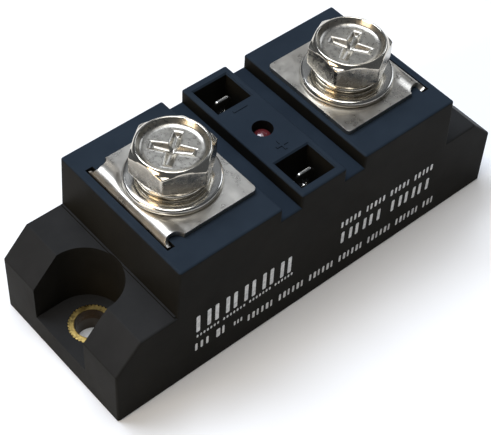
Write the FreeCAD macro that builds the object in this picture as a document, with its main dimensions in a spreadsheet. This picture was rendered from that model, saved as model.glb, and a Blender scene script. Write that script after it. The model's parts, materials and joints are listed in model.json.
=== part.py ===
import FreeCAD, Part
import math
import os
from types import SimpleNamespace

import Sketcher

# A single-phase solid state relay in the long power-module case, in millimetres.
# Frame: the origin is under the middle of the base plate, +X runs along the case, +Z is up,
# and the long side at -Y is the front. Left is -X.

SIZES = {
    # case, outside
    "case_length": 94.0,
    "case_width": 34.0,
    "case_height": 31.5,
    "case_lift": 0.2,
    "ear_end_height": 13.7,
    "ear_height": 19.5,
    "ear_slope_start": 41.5,
    "wall_foot": 33.6,
    "wall_top": 33.0,
    "edge_round": 0.45,
    "foot_rib": 0.35,
    # channels and the ridge between them
    "ridge_half": 5.4,
    "channel_outside": 10.0,
    "channel_floor": 28.4,
    # screw pockets in the ears
    "mounting_half_pitch": 40.0,
    "pocket_centre": 41.2,
    "pocket_radius": 7.5,
    "pocket_floor": 5.6,
    "bush_outer": 4.4,
    "bush_bore": 3.2,
    "bush_fit": 0.03,
    "knurl_depth": 0.3,
    "knurl_width": 0.36,
    # underside
    "plate_thick": 3.0,
    "plate_length": 90.8,
    "plate_width": 30.8,
    "plate_gap": 0.1,
    "plate_corner": 2.0,
    "cavity_half_length": 31.4,
    "cavity_half_width": 15.2,
    "cavity_top": 26.2,
    # terminals
    "bolt_place": 21.0,
    "strip_thick": 1.0,
    "strip_half_width": 11.2,
    "strip_inner_end": 11.0,
    "strip_corner": 0.9,
    "strip_hole": 4.6,
    "hump_start": 27.6,
    "hump_crest": 28.8,
    "hump_rise": 0.45,
    "hump_radius": 2.4,
    "leg_outside": 31.3,
    "leg_half_width": 10.4,
    "leg_narrow_half": 6.0,
    "leg_narrow_drop": 7.0,
    "relief_place": 28.6,
    "relief_radius": 1.3,
    "washer_seat_gap": 0.2,
    "foot_end": 23.0,
    "slot_gap": 0.15,
    "slot_bend_room": 0.45,
    "slot_half_length": 11.7,
    # captive nuts and their bosses
    "boss_radius": 8.8,
    "boss_bottom": 17.4,
    "nut_flats": 13.0,
    "nut_height": 6.5,
    "nut_gap": 0.1,
    "tip_bore": 4.7,
    "tip_floor": 19.0,
    # bolts and washers
    "thread_radius": 4.0,
    "thread_clearance": 0.06,
    "shank_length": 15.5,
    "head_flats": 14.0,
    "head_height": 6.1,
    "head_corner_drop": 1.5,
    "head_rim": 6.85,
    "dish_rim": 6.25,
    "dish_floor": 5.75,
    "dish_depth": 1.25,
    "cross_reach": 4.2,
    "cross_half": 0.95,
    "cross_depth": 2.4,
    "flat_washer_outer": 9.0,
    "flat_washer_bore": 4.2,
    "flat_washer_thick": 1.4,
    "flat_washer_round": 0.45,
    "spring_washer_outer": 6.6,
    "spring_washer_bore": 4.15,
    "spring_washer_thick": 1.3,
    "spring_washer_round": 0.2,
    "spring_washer_split": 0.9,
    # input wells and tabs
    "well_half_length": 4.0,
    "well_inner": 7.9,
    "well_outer": 15.2,
    "well_floor": 22.0,
    "well_skin": 1.2,
    "well_rim": 0.3,
    "tab_place": 11.55,
    "tab_half_width": 2.4,
    "tab_thick": 0.8,
    "tab_tip": 30.0,
    "tab_tip_half": 1.4,
    "tab_taper": 1.2,
    "tab_shoulder": 19.0,
    "tab_pin_half": 1.0,
    "tab_gap": 0.1,
    # lamp and polarity marks
    "lamp_hole": 2.05,
    "lamp_radius": 1.5,
    "lamp_flange": 1.9,
    "lamp_flange_height": 1.0,
    "lamp_seat": 25.1,
    "lamp_top": 30.4,
    "lead_pitch": 2.54,
    "lead_width": 0.5,
    "mark_height": 0.15,
    "mark_half": 0.25,
    "mark_reach": 1.6,
    "minus_place": 6.4,
    "plus_place": 5.3,
    # power stage
    "ceramic_length": 61.0,
    "ceramic_width": 28.0,
    "ceramic_thick": 0.8,
    "copper_thick": 0.3,
    "copper_half_gap": 0.8,
    "copper_end": 29.8,
    "copper_half_width": 12.6,
    "chip_side": 11.0,
    "chip_thick": 0.5,
    "chip_place_along": 9.0,
    "chip_place_across": 4.5,
    "strap_thick": 0.6,
    "strap_width": 6.0,
    "strap_arch": 2.4,
    "strap_foot": 4.0,
    "pin_radius": 0.4,
    "pin_along": 13.4,
    "pin_across": 8.9,
    "pin_pitch": 4.0,
    # control board and what is on it
    "board_bottom": 12.0,
    "board_thick": 1.6,
    "board_half_length": 28.0,
    "board_half_width": 14.2,
    "hole_clearance": 0.15,
    "pin_overrun": 0.8,
    "coupler_length": 8.8,
    "coupler_width": 6.4,
    "coupler_height": 3.3,
    "coupler_stand": 0.3,
    "coupler_place": 7.2,
    "coupler_lead": 0.5,
    "coupler_pitch": 2.54,
    "resistor_length": 6.3,
    "resistor_width": 3.2,
    "resistor_thick": 0.7,
    "resistor_along": 9.0,
    "resistor_across": 8.2,
    "capacitor_length": 10.0,
    "capacitor_width": 4.0,
    "capacitor_height": 8.0,
    "capacitor_place": 6.5,
    "varistor_radius": 5.0,
    "varistor_thick": 3.3,
}

LEFT_BOLT_TURN = 38.0
RIGHT_BOLT_TURN = 28.0
LEFT_SPLIT_TURN = -30.0
RIGHT_SPLIT_TURN = -70.0
KNURL_COUNT = 40
HALF_TURN = 180.0


class Size:
    """A number that remembers the sheet expression it comes from."""

    def __init__(self, value, text):
        self.value = value
        self.text = text

    def __add__(self, other):
        return Size(self.value + number(other), "(" + self.text + " + " + words(other) + ")")

    def __sub__(self, other):
        return Size(self.value - number(other), "(" + self.text + " - " + words(other) + ")")

    def __mul__(self, other):
        return Size(self.value * number(other), "(" + self.text + " * " + words(other) + ")")

    def __truediv__(self, other):
        return Size(self.value / number(other), "(" + self.text + " / " + words(other) + ")")

    def __neg__(self):
        return Size(-self.value, "(0 - " + self.text + ")")


def number(thing):
    """The plain value of a Size or of a number."""
    return thing.value if isinstance(thing, Size) else float(thing)


def words(thing):
    """The sheet expression of a Size or of a number."""
    return thing.text if isinstance(thing, Size) else repr(float(thing))


document = FreeCAD.newDocument("SolidStateRelay")


def fill_sheet():
    """Write the driving sizes into the sheet and hand them back as Sizes."""
    sheet = document.addObject("Spreadsheet::Sheet", "Sizes")
    sizes = {}
    for row, (name, value) in enumerate(SIZES.items(), start=1):
        sheet.set("A" + str(row), name)
        sheet.set("B" + str(row), str(value))
        sheet.setAlias("B" + str(row), name)
        sizes[name] = Size(value, "<<Sizes>>." + name)
    document.recompute()
    return SimpleNamespace(**sizes)


S = fill_sheet()


# ---------------------------------------------------------------- helpers

def bind(thing, path, size):
    """Tie one property of a document object to the sheet."""
    thing.setExpression(path, words(size))


def place(thing, x=0.0, y=0.0, z=0.0, turn=0.0):
    """Put an object at x, y, z, turned about +Z by turn degrees."""
    spot = FreeCAD.Vector(number(x), number(y), number(z))
    thing.Placement = FreeCAD.Placement(spot, FreeCAD.Rotation(FreeCAD.Vector(0, 0, 1), turn))
    for axis, length in (("x", x), ("y", y), ("z", z)):
        if isinstance(length, Size):
            bind(thing, "Placement.Base." + axis, length)


def new_body(label):
    body = document.addObject("PartDesign::Body", label)
    body.Label = label
    return body


def new_sketch(body, name, plane, lift=0.0):
    """A sketch on one of the body's own origin planes, lifted along the plane's normal."""
    sketch = body.newObject("Sketcher::SketchObject", name)
    planes = [item for item in body.Origin.OriginFeatures if item.Role == plane]
    sketch.AttachmentSupport = [(planes[0], "")]
    sketch.MapMode = "FlatFace"
    sketch.AttachmentOffset = FreeCAD.Placement(FreeCAD.Vector(0, 0, number(lift)), FreeCAD.Rotation())
    if isinstance(lift, Size):
        bind(sketch, "AttachmentOffset.Base.z", lift)
    return sketch


def tie(sketch, kind, point, length):
    """Fix a length in a sketch, tied to the sheet where it is a Size."""
    index = sketch.addConstraint(Sketcher.Constraint(kind, *point, number(length)))
    if isinstance(length, Size):
        bind(sketch, "Constraints[" + str(index) + "]", length)


def draw_outline(sketch, corners):
    """A closed polygon, each corner at its two lengths from the sketch's origin."""
    first = sketch.GeometryCount
    count = len(corners)
    spots = [FreeCAD.Vector(number(x), number(y), 0) for x, y in corners]
    for index in range(count):
        sketch.addGeometry(Part.LineSegment(spots[index], spots[(index + 1) % count]), False)
    for index in range(count):
        following = first + (index + 1) % count
        sketch.addConstraint(Sketcher.Constraint("Coincident", first + index, 2, following, 1))
    for index, (x, y) in enumerate(corners):
        tie(sketch, "DistanceX", (-1, 1, first + index, 1), x)
        tie(sketch, "DistanceY", (-1, 1, first + index, 1), y)


def draw_rectangle(sketch, low_x, low_y, high_x, high_y):
    draw_outline(sketch, [(low_x, low_y), (high_x, low_y), (high_x, high_y), (low_x, high_y)])


def draw_circle(sketch, x, y, radius):
    index = sketch.GeometryCount
    centre = FreeCAD.Vector(number(x), number(y), 0)
    sketch.addGeometry(Part.Circle(centre, FreeCAD.Vector(0, 0, 1), number(radius)), False)
    tie(sketch, "Radius", (index,), radius)
    tie(sketch, "DistanceX", (-1, 1, index, 3), x)
    tie(sketch, "DistanceY", (-1, 1, index, 3), y)


def draw_hexagon(sketch, x, flats):
    """A hexagon about (x, 0) with a corner towards +X."""
    reach = flats / math.sqrt(3)
    corners = []
    for index in range(6):
        angle = math.radians(60 * index)
        corners.append((reach * math.cos(angle) + x, reach * math.sin(angle)))
    draw_outline(sketch, corners)


def check_change(body, name, before, adds):
    """Stop if a feature left the body as it was or changed it the wrong way."""
    change = body.Shape.Volume - before
    if not adds:
        change = -change
    if change < 0.001:
        raise RuntimeError(body.Label + "." + name + " points the wrong way")


def shape_from(body, kind, name, sketch, length, reverse=False, both_ways=False):
    """A Pad or a Pocket of a sketch, checked to have changed the volume the right way."""
    before = body.Shape.Volume if body.Tip else 0.0
    feature = body.newObject("PartDesign::" + kind, name)
    feature.Profile = sketch
    feature.Length = number(length)
    if isinstance(length, Size):
        bind(feature, "Length", length)
    if both_ways:
        feature.SideType = "Symmetric"
    feature.Reversed = reverse
    document.recompute()
    check_change(body, name, before, adds=kind == "Pad")
    return feature


def spin(body, kind, name, sketch):
    """A Revolution or a Groove of a sketch, full circle about the body's own Z axis."""
    before = body.Shape.Volume if body.Tip else 0.0
    feature = body.newObject("PartDesign::" + kind, name)
    feature.Profile = sketch
    feature.ReferenceAxis = (sketch, ["V_Axis"])
    feature.Angle = 360.0
    document.recompute()
    check_change(body, name, before, adds=kind == "Revolution")
    return feature


def edges_where(feature, test):
    """Names of the edges whose middle and direction pass a test."""
    names = []
    for index, edge in enumerate(feature.Shape.Edges, start=1):
        if edge.Degenerated:
            continue
        middle = edge.valueAt((edge.FirstParameter + edge.LastParameter) / 2)
        along = edge.tangentAt((edge.FirstParameter + edge.LastParameter) / 2)
        if test(middle, along, edge):
            names.append("Edge" + str(index))
    return names


def soften(body, kind, name, test, size):
    """A Fillet or a Chamfer on the edges of the tip that pass a test."""
    base = body.Tip
    names = edges_where(base, test)
    if not names:
        raise RuntimeError(body.Label + "." + name + " found no edge")
    feature = body.newObject("PartDesign::" + kind, name)
    feature.Base = (base, names)
    if kind == "Fillet":
        bind(feature, "Radius", size)
    else:
        bind(feature, "Size", size)
    document.recompute()
    return feature


def near(value, target):
    return abs(value - number(target)) < 0.01


def upright(along):
    return abs(along.z) > 0.99


def crosswise(along):
    return abs(along.y) > 0.99


def box(name, low, high):
    """A Part::Box between two corners, each length tied to the sheet."""
    block = document.addObject("Part::Box", name)
    for side, start, end in zip(("Length", "Width", "Height"), low, high):
        span = end - start if isinstance(end, Size) else Size(number(end), words(end)) - start
        bind(block, side, span)
    place(block, *low)
    return block


def rod(name, x, y, low, high, radius):
    """An upright Part::Cylinder between two heights."""
    cylinder = document.addObject("Part::Cylinder", name)
    bind(cylinder, "Radius", radius)
    bind(cylinder, "Height", high - low)
    place(cylinder, x, y, low)
    return cylinder


def join(label, pieces):
    """One solid from pieces that touch."""
    fused = document.addObject("Part::MultiFuse", label)
    fused.Shapes = pieces
    fused.Label = label
    return fused


def group(label, pieces):
    """Separate solids kept together as one sub-part."""
    compound = document.addObject("Part::Compound", label)
    compound.Links = pieces
    compound.Label = label
    return compound


def cut(label, solid, tools):
    """A solid with the tools taken away."""
    tool = group(label + "_tools", tools)
    result = document.addObject("Part::Cut", label)
    result.Base = solid
    result.Tool = tool
    result.Label = label
    return result


# ---------------------------------------------------------------- heights in the stack

CERAMIC_TOP = S.plate_thick + S.ceramic_thick
COPPER_TOP = CERAMIC_TOP + S.copper_thick
CHIP_TOP = COPPER_TOP + S.chip_thick
BOARD_TOP = S.board_bottom + S.board_thick
STRIP_TOP = S.case_height + S.strip_thick
FLAT_WASHER_TOP = STRIP_TOP + S.flat_washer_thick
SPRING_WASHER_TOP = FLAT_WASHER_TOP + S.spring_washer_thick


# ---------------------------------------------------------------- case

def case_outline():
    """Half of the side view, from the middle of the top to the end of the ear."""
    return [
        (S.ridge_half, S.case_height),
        (S.ridge_half, S.channel_floor),
        (S.channel_outside, S.channel_floor),
        (S.channel_outside, S.case_height),
        (S.wall_top, S.case_height),
        (S.wall_foot, S.ear_height),
        (S.ear_slope_start, S.ear_height),
        (S.case_length / 2, S.ear_end_height),
        (S.case_length / 2, S.case_lift),
    ]


def add_case_block(body):
    right = case_outline()
    left = [(-x, z) for x, z in reversed(right)]
    sketch = new_sketch(body, "CaseSide", "XZ_Plane")
    draw_outline(sketch, right + left)
    shape_from(body, "Pad", "CaseBlock", sketch, S.case_width, both_ways=True)

    half_width = number(S.case_width) / 2
    height = number(S.case_height)
    corners_inside = (number(S.channel_floor), number(S.ear_height))

    def outer_edge(middle, along, edge):
        if middle.z < number(S.case_lift) + 0.01:
            return False
        if near(abs(middle.y), half_width):
            return True
        concave = near(middle.z, corners_inside[0])
        concave = concave or (near(middle.z, corners_inside[1]) and near(abs(middle.x), S.wall_foot))
        return crosswise(along) and not concave and middle.z <= height + 0.01

    soften(body, "Fillet", "CaseEdges", outer_edge, S.edge_round)


def add_foot_ribs(body):
    """The low rib where each end wall meets its ear."""
    sketch = new_sketch(body, "FootRibSide", "XZ_Plane")
    for side in (-1, 1):
        inside = (S.wall_foot - S.foot_rib) * side
        outside = (S.wall_foot + S.foot_rib) * side
        draw_rectangle(sketch, inside, S.ear_height - S.foot_rib, outside, S.ear_height + S.foot_rib)
    length = S.case_width - S.edge_round * 2
    shape_from(body, "Pad", "FootRibs", sketch, length, both_ways=True)


def cut_screw_pockets(body):
    """U-shaped pockets, open through the end of each ear, and the holes for the bushes."""
    rise = S.case_height - S.pocket_floor
    sketch = new_sketch(body, "PocketRound", "XY_Plane", S.pocket_floor)
    for side in (-1, 1):
        draw_circle(sketch, S.pocket_centre * side, 0, S.pocket_radius)
    shape_from(body, "Pocket", "PocketRounds", sketch, rise, reverse=True)
    sketch = new_sketch(body, "PocketMouth", "XY_Plane", S.pocket_floor)
    for side in (-1, 1):
        end = (S.case_length / 2 + 1) * side
        draw_rectangle(sketch, S.pocket_centre * side, -S.pocket_radius, end, S.pocket_radius)
    shape_from(body, "Pocket", "PocketMouths", sketch, rise, reverse=True)
    sketch = new_sketch(body, "BushHole", "XY_Plane")
    for side in (-1, 1):
        draw_circle(sketch, S.mounting_half_pitch * side, 0, S.bush_outer + S.bush_fit)
    shape_from(body, "Pocket", "BushHoles", sketch, S.pocket_floor, reverse=True)


def hollow_underside(body):
    """The seat of the base plate and the room above it, with bosses and well skins left in."""
    half_length = S.plate_length / 2 + S.plate_gap
    half_width = S.plate_width / 2 + S.plate_gap
    sketch = new_sketch(body, "PlateSeat", "XY_Plane")
    draw_rectangle(sketch, -half_length, -half_width, half_length, half_width)
    shape_from(body, "Pocket", "PlateSeatCut", sketch, S.plate_thick, reverse=True)

    sketch = new_sketch(body, "Cavity", "XY_Plane")
    long_side = S.cavity_half_length
    short_side = S.cavity_half_width
    draw_rectangle(sketch, -long_side, -short_side, long_side, short_side)
    shape_from(body, "Pocket", "CavityCut", sketch, S.cavity_top, reverse=True)

    sketch = new_sketch(body, "Boss", "XY_Plane", S.boss_bottom)
    for side in (-1, 1):
        draw_circle(sketch, S.bolt_place * side, 0, S.boss_radius)
    shape_from(body, "Pad", "Bosses", sketch, S.cavity_top + 1 - S.boss_bottom)

    sketch = new_sketch(body, "WellSkin", "XY_Plane", S.well_floor - S.well_skin)
    half = S.well_half_length + S.well_skin
    for side in (-1, 1):
        inner = (S.well_inner - S.well_skin) * side
        outer = (S.cavity_half_width + 0.5) * side
        draw_rectangle(sketch, -half, inner, half, outer)
    shape_from(body, "Pad", "WellSkins", sketch, S.cavity_top + 1 - S.well_floor + S.well_skin)


def cut_top(body):
    """Wells, tab slots, lamp hole, nut pockets, bolt tip bores and leg slots."""
    sketch = new_sketch(body, "Well", "XY_Plane", S.case_height)
    half = S.well_half_length
    for side in (-1, 1):
        draw_rectangle(sketch, -half, S.well_inner * side, half, S.well_outer * side)
    shape_from(body, "Pocket", "Wells", sketch, S.case_height - S.well_floor)

    def well_rim(middle, along, edge):
        inside = abs(middle.x) < number(half) + 0.01
        inside = inside and number(S.well_inner) - 0.01 < abs(middle.y) < number(S.well_outer) + 0.01
        return inside and near(middle.z, S.case_height)

    soften(body, "Chamfer", "WellRims", well_rim, S.well_rim)

    sketch = new_sketch(body, "TabSlot", "XY_Plane", S.case_height)
    slot_half = S.tab_half_width + S.tab_gap
    slot_side = S.tab_thick / 2 + S.tab_gap
    for side in (-1, 1):
        low = S.tab_place * side - slot_side
        high = S.tab_place * side + slot_side
        draw_rectangle(sketch, -slot_half, low, slot_half, high)
    shape_from(body, "Pocket", "TabSlots", sketch, S.case_height - S.well_floor + S.well_skin + 1)

    sketch = new_sketch(body, "LampHole", "XY_Plane", S.case_height)
    draw_circle(sketch, 0, 0, S.lamp_hole)
    shape_from(body, "Pocket", "LampHoleCut", sketch, S.case_height - S.cavity_top + 1)

    for side, name in ((-1, "Left"), (1, "Right")):
        sketch = new_sketch(body, name + "NutSeat", "XY_Plane", S.case_height)
        draw_nut_seat(sketch, S.bolt_place * side)
        depth = S.nut_height + S.nut_gap * 2
        shape_from(body, "Pocket", name + "NutSeatCut", sketch, depth)

    sketch = new_sketch(body, "TipBore", "XY_Plane", S.case_height)
    for side in (-1, 1):
        draw_circle(sketch, S.bolt_place * side, 0, S.tip_bore)
    shape_from(body, "Pocket", "TipBores", sketch, S.case_height - S.tip_floor)

    sketch = new_sketch(body, "LegSlot", "XY_Plane", S.case_height)
    for side in (-1, 1):
        inner = (S.leg_outside - S.strip_thick - S.slot_bend_room) * side
        outer = (S.leg_outside + S.slot_gap) * side
        draw_rectangle(sketch, inner, -S.slot_half_length, outer, S.slot_half_length)
    shape_from(body, "Pocket", "LegSlots", sketch, S.case_height - S.cavity_top + 1)


def draw_nut_seat(sketch, x):
    """The nut's hexagon, a little larger, with a flat towards +X."""
    reach = (S.nut_flats + S.nut_gap * 2) / math.sqrt(3)
    corners = []
    for index in range(6):
        angle = math.radians(60 * index + 30)
        corners.append((reach * math.cos(angle) + x, reach * math.sin(angle)))
    draw_outline(sketch, corners)


def add_polarity_marks(body):
    """A raised minus by the back well and a raised plus by the front well."""
    sketch = new_sketch(body, "Minus", "XY_Plane", S.case_height)
    low = S.minus_place - S.mark_half
    high = S.minus_place + S.mark_half
    draw_rectangle(sketch, -S.mark_reach, low, S.mark_reach, high)
    shape_from(body, "Pad", "MinusMark", sketch, S.mark_height)

    sketch = new_sketch(body, "Plus", "XY_Plane", S.case_height)
    half = S.mark_half
    reach = S.mark_reach * 0.8
    corner = [(reach, -half), (reach, half), (half, half), (half, reach), (-half, reach),
              (-half, half), (-reach, half), (-reach, -half), (-half, -half), (-half, -reach),
              (half, -reach), (half, -half)]
    draw_outline(sketch, [(x, y - S.plus_place) for x, y in corner])
    shape_from(body, "Pad", "PlusMark", sketch, S.mark_height)


def make_case():
    body = new_body("case")
    add_case_block(body)
    add_foot_ribs(body)
    cut_screw_pockets(body)
    hollow_underside(body)
    cut_top(body)
    add_polarity_marks(body)
    return body


# ---------------------------------------------------------------- base plate and bushes

def make_base_plate():
    body = new_body("base_plate")
    sketch = new_sketch(body, "PlateOutline", "XY_Plane")
    half_length = S.plate_length / 2
    half_width = S.plate_width / 2
    draw_rectangle(sketch, -half_length, -half_width, half_length, half_width)
    shape_from(body, "Pad", "Plate", sketch, S.plate_thick)
    soften(body, "Fillet", "PlateCorners", lambda middle, along, edge: upright(along), S.plate_corner)
    sketch = new_sketch(body, "PlateHole", "XY_Plane")
    for side in (-1, 1):
        draw_circle(sketch, S.mounting_half_pitch * side, 0, S.bush_bore)
    shape_from(body, "Pocket", "PlateHoles", sketch, S.plate_thick, reverse=True)
    return body


def make_bush(label, side):
    """A knurled brass bush between the base plate and the floor of a screw pocket."""
    body = new_body(label)
    height = S.pocket_floor - S.plate_thick
    sketch = new_sketch(body, "Ring", "XY_Plane")
    draw_circle(sketch, 0, 0, S.bush_outer)
    draw_circle(sketch, 0, 0, S.bush_bore)
    shape_from(body, "Pad", "Bush", sketch, height)
    sketch = new_sketch(body, "Notch", "XY_Plane")
    root = S.bush_outer - S.knurl_depth
    outside = S.bush_outer + S.knurl_depth
    draw_outline(sketch, [(root, 0), (outside, -S.knurl_width), (outside, S.knurl_width)])
    notch = shape_from(body, "Pocket", "KnurlNotch", sketch, height, reverse=True)
    pattern = body.newObject("PartDesign::PolarPattern", "Knurl")
    pattern.Originals = [notch]
    pattern.Axis = (sketch, ["N_Axis"])
    pattern.Angle = 360.0
    pattern.Occurrences = KNURL_COUNT
    body.Tip = pattern
    place(body, S.mounting_half_pitch * side, 0, S.plate_thick)
    return body


# ---------------------------------------------------------------- terminals, nuts, bolts, washers

def strip_outline():
    """Side view of a terminal strip: flat top, rolled hump, leg and foot, from the bolt's axis."""
    inner = S.strip_inner_end - S.bolt_place
    start = S.hump_start - S.bolt_place
    crest = S.hump_crest - S.bolt_place
    outside = S.leg_outside - S.bolt_place
    thick = S.strip_thick
    inside = outside - thick
    foot_end = S.foot_end - S.bolt_place
    foot_under = COPPER_TOP - S.case_height
    foot_over = foot_under + thick
    crest_over = thick + S.hump_rise
    return [
        (inner, 0),
        (start + thick / 4, 0),
        (crest, S.hump_rise),
        (inside, S.hump_rise),
        (inside, foot_over),
        (foot_end, foot_over),
        (foot_end, foot_under),
        (outside, foot_under),
        (outside, crest_over),
        (crest, crest_over),
        (start, thick),
        (inner, thick),
    ]


def make_terminal(label, side):
    """A terminal strip in its own frame: the bolt's axis, level with the top of the case."""
    body = new_body(label)
    sketch = new_sketch(body, "StripSide", "XZ_Plane")
    draw_outline(sketch, strip_outline())
    shape_from(body, "Pad", "Strip", sketch, S.strip_half_width * 2, both_ways=True)

    outside = number(S.leg_outside - S.bolt_place)
    inside = number(S.leg_outside - S.bolt_place - S.strip_thick)
    crest_over = number(S.strip_thick + S.hump_rise)
    foot_under = number(COPPER_TOP - S.case_height)
    foot_over = number(COPPER_TOP - S.case_height + S.strip_thick)

    def outer_bend(middle, along, edge):
        top = near(middle.x, outside) and near(middle.z, crest_over)
        return crosswise(along) and (top or (near(middle.x, outside) and near(middle.z, foot_under)))

    def inner_bend(middle, along, edge):
        top = near(middle.x, inside) and near(middle.z, S.hump_rise)
        return crosswise(along) and (top or (near(middle.x, inside) and near(middle.z, foot_over)))

    soften(body, "Fillet", "OuterBends", outer_bend, S.hump_radius - 0.1)
    soften(body, "Fillet", "InnerBends", inner_bend, S.hump_radius - 0.1 - S.strip_thick)

    sketch = new_sketch(body, "LegSides", "XY_Plane", -S.case_height)
    start = S.hump_start - S.bolt_place
    far = S.leg_outside - S.bolt_place + 1
    for way in (-1, 1):
        draw_rectangle(sketch, start, S.leg_half_width * way, far, (S.strip_half_width + 1) * way)
    shape_from(body, "Pocket", "LegSideCuts", sketch, S.case_height * 2, reverse=True)

    sketch = new_sketch(body, "Relief", "XY_Plane", -S.case_height)
    middle = S.relief_place - S.bolt_place
    for way in (-1, 1):
        draw_circle(sketch, middle, S.strip_half_width * way, S.relief_radius)
    shape_from(body, "Pocket", "Reliefs", sketch, S.case_height * 2, reverse=True)

    sketch = new_sketch(body, "NarrowLeg", "YZ_Plane")
    for way in (-1, 1):
        draw_rectangle(sketch, S.leg_narrow_half * way, -S.case_height,
                       S.strip_half_width * 1.5 * way, -S.leg_narrow_drop)
    shape_from(body, "Pocket", "NarrowLegCuts", sketch, S.case_length, both_ways=True)

    sketch = new_sketch(body, "WasherSeat", "XY_Plane", S.strip_thick)
    draw_circle(sketch, 0, 0, S.flat_washer_outer + S.washer_seat_gap)
    shape_from(body, "Pocket", "WasherSeatCut", sketch, S.hump_rise * 2, reverse=True)

    sketch = new_sketch(body, "BoltHole", "XY_Plane", S.strip_thick * 2)
    draw_circle(sketch, 0, 0, S.strip_hole)
    shape_from(body, "Pocket", "BoltHoleCut", sketch, S.strip_thick * 3)

    def inner_corner(middle, along, edge):
        return upright(along) and near(middle.x, S.strip_inner_end - S.bolt_place)

    soften(body, "Fillet", "StripCorners", inner_corner, S.strip_corner)
    turn = 0.0 if side > 0 else HALF_TURN
    place(body, S.bolt_place * side, 0, S.case_height, turn)
    return body


def make_nut(label, side):
    """A captive hexagon nut in its pocket, corners eased top and bottom."""
    body = new_body(label)
    sketch = new_sketch(body, "NutOutline", "XY_Plane")
    draw_hexagon(sketch, Size(0.0, "0"), S.nut_flats)
    draw_circle(sketch, 0, 0, S.thread_radius + S.thread_clearance)
    shape_from(body, "Pad", "Nut", sketch, S.nut_height)
    rim = S.nut_flats / 2
    ease_corners(body, "NutTop", rim, S.nut_height, -(S.nut_flats * 0.05))
    ease_corners(body, "NutUnder", rim, Size(0.0, "0"), S.nut_flats * 0.05)
    height = S.case_height - S.nut_gap - S.nut_height
    place(body, S.bolt_place * side, 0, height, 90.0)
    return body


def ease_corners(body, name, rim, level, drop):
    """Turn the corners of a hexagon down to a cone: rim at this level, full width at level + drop."""
    sketch = new_sketch(body, name, "XZ_Plane")
    far = rim * 2 / math.sqrt(3)
    slope_end = far + (far - rim) * 0.5
    draw_outline(sketch, [(rim, level), (slope_end, level + drop * 1.5), (slope_end, level - drop),
                          (rim, level - drop)])
    spin(body, "Groove", name + "Ease", sketch)


def make_bolt(label, side, turn):
    """A hexagon bolt with a dished, cross-recessed head; its frame is under the head."""
    body = new_body(label)
    sketch = new_sketch(body, "HeadOutline", "XY_Plane")
    draw_hexagon(sketch, Size(0.0, "0"), S.head_flats)
    shape_from(body, "Pad", "Head", sketch, S.head_height)
    ease_corners(body, "HeadTop", S.head_rim, S.head_height, -S.head_corner_drop)
    ease_corners(body, "HeadUnder", S.head_rim, Size(0.0, "0"), S.head_corner_drop)

    sketch = new_sketch(body, "Dish", "XZ_Plane")
    floor = S.head_height - S.dish_depth
    draw_outline(sketch, [(0, floor), (S.dish_floor, floor), (S.dish_rim, S.head_height),
                          (S.dish_rim, S.head_height + 1), (0, S.head_height + 1)])
    spin(body, "Groove", "DishCut", sketch)

    sketch = new_sketch(body, "Shank", "XY_Plane")
    draw_circle(sketch, 0, 0, S.thread_radius)
    shape_from(body, "Pad", "ShankRod", sketch, S.shank_length, reverse=True)

    def tip(middle, along, edge):
        return near(middle.z, -S.shank_length) and near(middle.Length, (S.shank_length.value ** 2
                                                                      + S.thread_radius.value ** 2) ** 0.5)

    soften(body, "Chamfer", "Tip", tip, S.thread_radius / 5)

    sketch = new_sketch(body, "Cross", "XY_Plane", floor)
    half = S.cross_half
    reach = S.cross_reach
    draw_outline(sketch, [(reach, -half), (reach, half), (half, half), (half, reach), (-half, reach),
                          (-half, half), (-reach, half), (-reach, -half), (-half, -half),
                          (-half, -reach), (half, -reach), (half, -half)])
    recess = shape_from(body, "Pocket", "CrossRecess", sketch, S.cross_depth)
    recess.TaperAngle = -14.0
    document.recompute()
    place(body, S.bolt_place * side, 0, SPRING_WASHER_TOP, turn)
    return body


def make_flat_washer(label, side):
    body = new_body(label)
    sketch = new_sketch(body, "WasherRing", "XY_Plane")
    draw_circle(sketch, 0, 0, S.flat_washer_outer)
    draw_circle(sketch, 0, 0, S.flat_washer_bore)
    shape_from(body, "Pad", "Washer", sketch, S.flat_washer_thick)

    def outer_rim(middle, along, edge):
        return edge.Length > number(S.flat_washer_outer) * 6 and abs(along.z) < 0.01

    soften(body, "Fillet", "WasherEdge", outer_rim, S.flat_washer_round)
    place(body, S.bolt_place * side, 0, STRIP_TOP)
    return body


def make_spring_washer(label, side, turn):
    """A split lock washer, pressed flat."""
    body = new_body(label)
    sketch = new_sketch(body, "WasherRing", "XY_Plane")
    draw_circle(sketch, 0, 0, S.spring_washer_outer)
    draw_circle(sketch, 0, 0, S.spring_washer_bore)
    shape_from(body, "Pad", "Washer", sketch, S.spring_washer_thick)

    def outer_rim(middle, along, edge):
        return edge.Length > number(S.spring_washer_outer) * 6 and abs(along.z) < 0.01

    soften(body, "Fillet", "WasherEdge", outer_rim, S.spring_washer_round)
    sketch = new_sketch(body, "Split", "XZ_Plane", -(S.spring_washer_outer + 1))
    half = S.spring_washer_split / 2
    lean = S.spring_washer_thick * 0.4
    low = -(S.spring_washer_thick * 0.1)
    high = S.spring_washer_thick * 1.1
    draw_outline(sketch, [(-half - lean, low), (half - lean, low), (half + lean, high), (lean - half, high)])
    shape_from(body, "Pocket", "SplitCut", sketch, S.spring_washer_outer, reverse=True)
    place(body, S.bolt_place * side, 0, FLAT_WASHER_TOP, turn)
    return body


# ---------------------------------------------------------------- input tabs and lamp

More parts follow.
